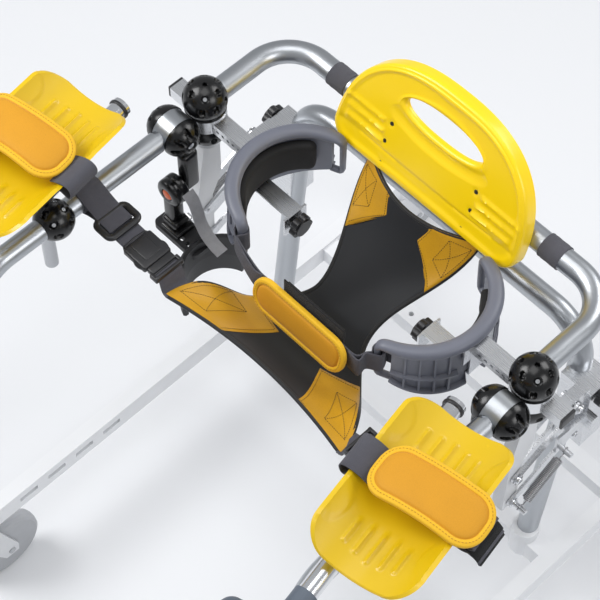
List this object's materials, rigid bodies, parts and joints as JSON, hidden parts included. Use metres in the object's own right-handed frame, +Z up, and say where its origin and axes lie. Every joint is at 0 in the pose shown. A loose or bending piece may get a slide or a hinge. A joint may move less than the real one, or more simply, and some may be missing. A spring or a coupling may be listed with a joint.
{
  "type": "gait trainer",
  "caption": "Wheeled gait trainer with a sprung upper frame, back panel, trunk supports, sling saddle, forearm gutters, handgrips and thigh guides.",
  "frame": {"origin": "on the floor, below the middle of the part's box; the corner clamps stand over y = 0, one either side of x = 0", "axes": "+Z up, -Y the way the user faces, +X to the user's left"},
  "size_m": [0.873, 1.0355, 0.9452],
  "materials": {
    "white_paint": "satin",
    "satin_tube": "satin",
    "bare_aluminium": "satin",
    "black_plastic": "gloss",
    "grey_paint": "satin",
    "wheel_rubber": "matte",
    "red_plastic": "satin",
    "spring_steel": "satin",
    "grey_webbing": "matte",
    "yellow_plastic": "gloss",
    "dark_steel": "satin",
    "slate_neoprene": "matte",
    "yellow_neoprene": "matte",
    "post_steel": "satin",
    "chrome_rod": "polished",
    "grip_plastic": "satin",
    "slate_plastic": "satin",
    "black_foam": "matte"
  },
  "bodies": {
    "base": {"base_frame": "white_paint", "rear_arch": "satin_tube", "spring_posts": "bare_aluminium", "spring_right": "spring_steel", "spring_left": "spring_steel"},
    "upper_frame": {"upper_loop": "satin_tube", "loop_sleeves": "grey_webbing", "back_panel": "yellow_plastic", "panel_screws": "dark_steel", "clamp_shells": "black_plastic", "corner_bands": "bare_aluminium", "carriers": "dark_steel", "sling": "slate_neoprene", "sling_strap_right": "grey_webbing", "sling_strap_left": "grey_webbing", "sling_buckles": "black_plastic", "front_strap_right": "yellow_neoprene", "front_strap_left": "grey_webbing"},
    "preload_knob_right": {"preload_knob_right": "black_plastic"},
    "preload_knob_left": {"preload_knob_left": "black_plastic"},
    "fork_front_right": {"castor_fork_front_right": "grey_paint"},
    "wheel_front_right": {"castor_wheel_front_right": "wheel_rubber"},
    "fork_front_left": {"castor_fork_front_left": "grey_paint"},
    "wheel_front_left": {"castor_wheel_front_left": "wheel_rubber"},
    "fork_rear_right": {"castor_fork_rear_right": "grey_paint"},
    "wheel_rear_right": {"castor_wheel_rear_right": "wheel_rubber"},
    "brake_right": {"brake_pedal_right": "red_plastic"},
    "fork_rear_left": {"castor_fork_rear_left": "grey_paint"},
    "wheel_rear_left": {"castor_wheel_rear_left": "wheel_rubber"},
    "brake_left": {"brake_pedal_left": "red_plastic"},
    "upper_link_right": {"upper_link_right": "bare_aluminium"},
    "lower_link_right": {"lower_link_right": "bare_aluminium"},
    "upper_link_left": {"upper_link_left": "bare_aluminium"},
    "lower_link_left": {"lower_link_left": "bare_aluminium"},
    "armrest_right": {"armrest_tube_right": "satin_tube", "gutter_ball_right": "black_plastic"},
    "gutter_right": {"gutter_post_right": "post_steel", "gutter_rod_right": "chrome_rod", "gutter_right": "yellow_plastic", "gutter_pad_right": "yellow_neoprene"},
    "grip_right": {"handgrip_right": "grip_plastic"},
    "trunk_right": {"trunk_bar_right": "bare_aluminium", "trunk_shell_right": "slate_plastic", "trunk_pad_right": "black_foam"},
    "trunk_knob_right": {"trunk_knob_right": "black_plastic"},
    "thigh_right": {"thigh_arm_right": "black_plastic"},
    "cuff_right": {"thigh_cuff_right": "black_plastic"},
    "armrest_left": {"armrest_tube_left": "satin_tube", "gutter_ball_left": "black_plastic"},
    "gutter_left": {"gutter_post_left": "post_steel", "gutter_rod_left": "chrome_rod", "gutter_left": "yellow_plastic", "gutter_pad_left": "yellow_neoprene"},
    "grip_left": {"handgrip_left": "grip_plastic"},
    "trunk_left": {"trunk_bar_left": "bare_aluminium", "trunk_shell_left": "slate_plastic", "trunk_pad_left": "black_foam"},
    "trunk_knob_left": {"trunk_knob_left": "black_plastic"},
    "thigh_left": {"thigh_arm_left": "black_plastic"},
    "cuff_left": {"thigh_cuff_left": "black_plastic"}
  },
  "joints": [
    {"name": "preload_knob_right_turn", "type": "hinge", "parent": "base", "child": "preload_knob_right", "pos_m": [-0.309, 0.14127, 0.61], "axis": [1, 0, 0], "continuous": true},
    {"name": "preload_knob_left_turn", "type": "hinge", "parent": "base", "child": "preload_knob_left", "pos_m": [0.309, 0.14127, 0.61], "axis": [1, 0, 0], "continuous": true},
    {"name": "swivel_front_right", "type": "hinge", "parent": "base", "child": "fork_front_right", "pos_m": [-0.315, -0.47, 0.142], "axis": [0, 0, 1], "continuous": true},
    {"name": "roll_front_right", "type": "hinge", "parent": "fork_front_right", "child": "wheel_front_right", "pos_m": [-0.315, -0.438, 0.06], "axis": [1, 0, 0], "continuous": true},
    {"name": "swivel_front_left", "type": "hinge", "parent": "base", "child": "fork_front_left", "pos_m": [0.315, -0.47, 0.142], "axis": [0, 0, 1], "continuous": true},
    {"name": "roll_front_left", "type": "hinge", "parent": "fork_front_left", "child": "wheel_front_left", "pos_m": [0.315, -0.438, 0.06], "axis": [1, 0, 0], "continuous": true},
    {"name": "swivel_rear_right", "type": "hinge", "parent": "base", "child": "fork_rear_right", "pos_m": [-0.315, 0.424, 0.142], "axis": [0, 0, 1], "continuous": true},
    {"name": "roll_rear_right", "type": "hinge", "parent": "fork_rear_right", "child": "wheel_rear_right", "pos_m": [-0.315, 0.456, 0.06], "axis": [1, 0, 0], "continuous": true},
    {"name": "brake_right_press", "type": "hinge", "parent": "fork_rear_right", "child": "brake_right", "pos_m": [-0.315, 0.412, 0.1255], "axis": [1, 0, 0], "range_deg": [0, 10]},
    {"name": "swivel_rear_left", "type": "hinge", "parent": "base", "child": "fork_rear_left", "pos_m": [0.315, 0.424, 0.142], "axis": [0, 0, 1], "continuous": true},
    {"name": "roll_rear_left", "type": "hinge", "parent": "fork_rear_left", "child": "wheel_rear_left", "pos_m": [0.315, 0.456, 0.06], "axis": [1, 0, 0], "continuous": true},
    {"name": "brake_left_press", "type": "hinge", "parent": "fork_rear_left", "child": "brake_left", "pos_m": [0.315, 0.412, 0.1255], "axis": [1, 0, 0], "range_deg": [0, 10]},
    {"name": "suspension", "type": "hinge", "parent": "base", "child": "upper_link_right", "pos_m": [-0.293, 0.094, 0.622], "axis": [1, 0, 0], "range_deg": [0, 20], "stiffness_Nm_per_rad": 120, "springref_deg": -9.17},
    {"name": "lower_link_right_swing", "type": "hinge", "parent": "base", "child": "lower_link_right", "pos_m": [-0.293, 0.094, 0.557], "axis": [1, 0, 0], "range_deg": [0, 20], "deforming": ["spring_right"]},
    {"name": "upper_link_left_swing", "type": "hinge", "parent": "base", "child": "upper_link_left", "pos_m": [0.293, 0.094, 0.622], "axis": [1, 0, 0], "range_deg": [0, 20]},
    {"name": "lower_link_left_swing", "type": "hinge", "parent": "base", "child": "lower_link_left", "pos_m": [0.293, 0.094, 0.557], "axis": [1, 0, 0], "range_deg": [0, 20], "deforming": ["spring_left"]},
    {"name": "frame_level", "type": "hinge", "parent": "upper_link_right", "child": "upper_frame", "pos_m": [-0.293, -0.016, 0.571], "axis": [1, 0, 0], "range_deg": [-20, 0]},
    {"name": "armrest_right_tilt", "type": "hinge", "parent": "upper_frame", "child": "armrest_right", "pos_m": [-0.293, -0.057, 0.782], "axis": [1, 0, 0], "range_deg": [-20, 10], "deforming": ["sling_strap_right"]},
    {"name": "gutter_right_swing", "type": "hinge", "parent": "armrest_right", "child": "gutter_right", "pos_m": [-0.316, -0.262, 0.784], "axis": [0, 0, 1], "range_deg": [-25, 25]},
    {"name": "grip_right_roll", "type": "hinge", "parent": "gutter_right", "child": "grip_right", "pos_m": [-0.29168, -0.44794, 0.8295], "axis": [0.1392, -0.9903, 0], "range_deg": [-45, 45]},
    {"name": "trunk_right_slide", "type": "slide", "parent": "upper_frame", "child": "trunk_right", "axis": [1, 0, 0], "range_m": [-0.03, 0.018], "deforming": ["front_strap_right"]},
    {"name": "trunk_knob_right_turn", "type": "hinge", "parent": "trunk_right", "child": "trunk_knob_right", "pos_m": [-0.117, 0, 0.694], "axis": [1, 0, 0], "continuous": true},
    {"name": "thigh_right_swing", "type": "hinge", "parent": "upper_frame", "child": "thigh_right", "pos_m": [-0.267, -0.088, 0.702], "axis": [0, 1, 0], "range_deg": [-15, 15]},
    {"name": "cuff_right_turn", "type": "hinge", "parent": "thigh_right", "child": "cuff_right", "pos_m": [-0.259, -0.09, 0.624], "axis": [0, 0, 1], "range_deg": [-20, 20]},
    {"name": "armrest_left_tilt", "type": "hinge", "parent": "upper_frame", "child": "armrest_left", "pos_m": [0.293, -0.057, 0.782], "axis": [1, 0, 0], "range_deg": [-20, 10], "deforming": ["sling_strap_left"]},
    {"name": "gutter_left_swing", "type": "hinge", "parent": "armrest_left", "child": "gutter_left", "pos_m": [0.316, -0.262, 0.784], "axis": [0, 0, 1], "range_deg": [-25, 25]},
    {"name": "grip_left_roll", "type": "hinge", "parent": "gutter_left", "child": "grip_left", "pos_m": [0.32514, -0.45414, 0.8295], "axis": [0.1736, -0.9848, 0], "range_deg": [-45, 45]},
    {"name": "trunk_left_slide", "type": "slide", "parent": "upper_frame", "child": "trunk_left", "axis": [1, 0, 0], "range_m": [-0.018, 0.03], "deforming": ["front_strap_left"]},
    {"name": "trunk_knob_left_turn", "type": "hinge", "parent": "trunk_left", "child": "trunk_knob_left", "pos_m": [0.117, 0, 0.694], "axis": [1, 0, 0], "continuous": true},
    {"name": "thigh_left_swing", "type": "hinge", "parent": "upper_frame", "child": "thigh_left", "pos_m": [0.267, -0.088, 0.702], "axis": [0, 1, 0], "range_deg": [-15, 15]},
    {"name": "cuff_left_turn", "type": "hinge", "parent": "thigh_left", "child": "cuff_left", "pos_m": [0.259, -0.09, 0.624], "axis": [0, 0, 1], "range_deg": [-20, 20]}
  ],
  "couplings": [
    {"joint": "lower_link_right_swing", "follows": "suspension", "ratio": 1},
    {"joint": "upper_link_left_swing", "follows": "suspension", "ratio": 1},
    {"joint": "lower_link_left_swing", "follows": "suspension", "ratio": 1},
    {"joint": "frame_level", "follows": "suspension", "ratio": -1}
  ]
}
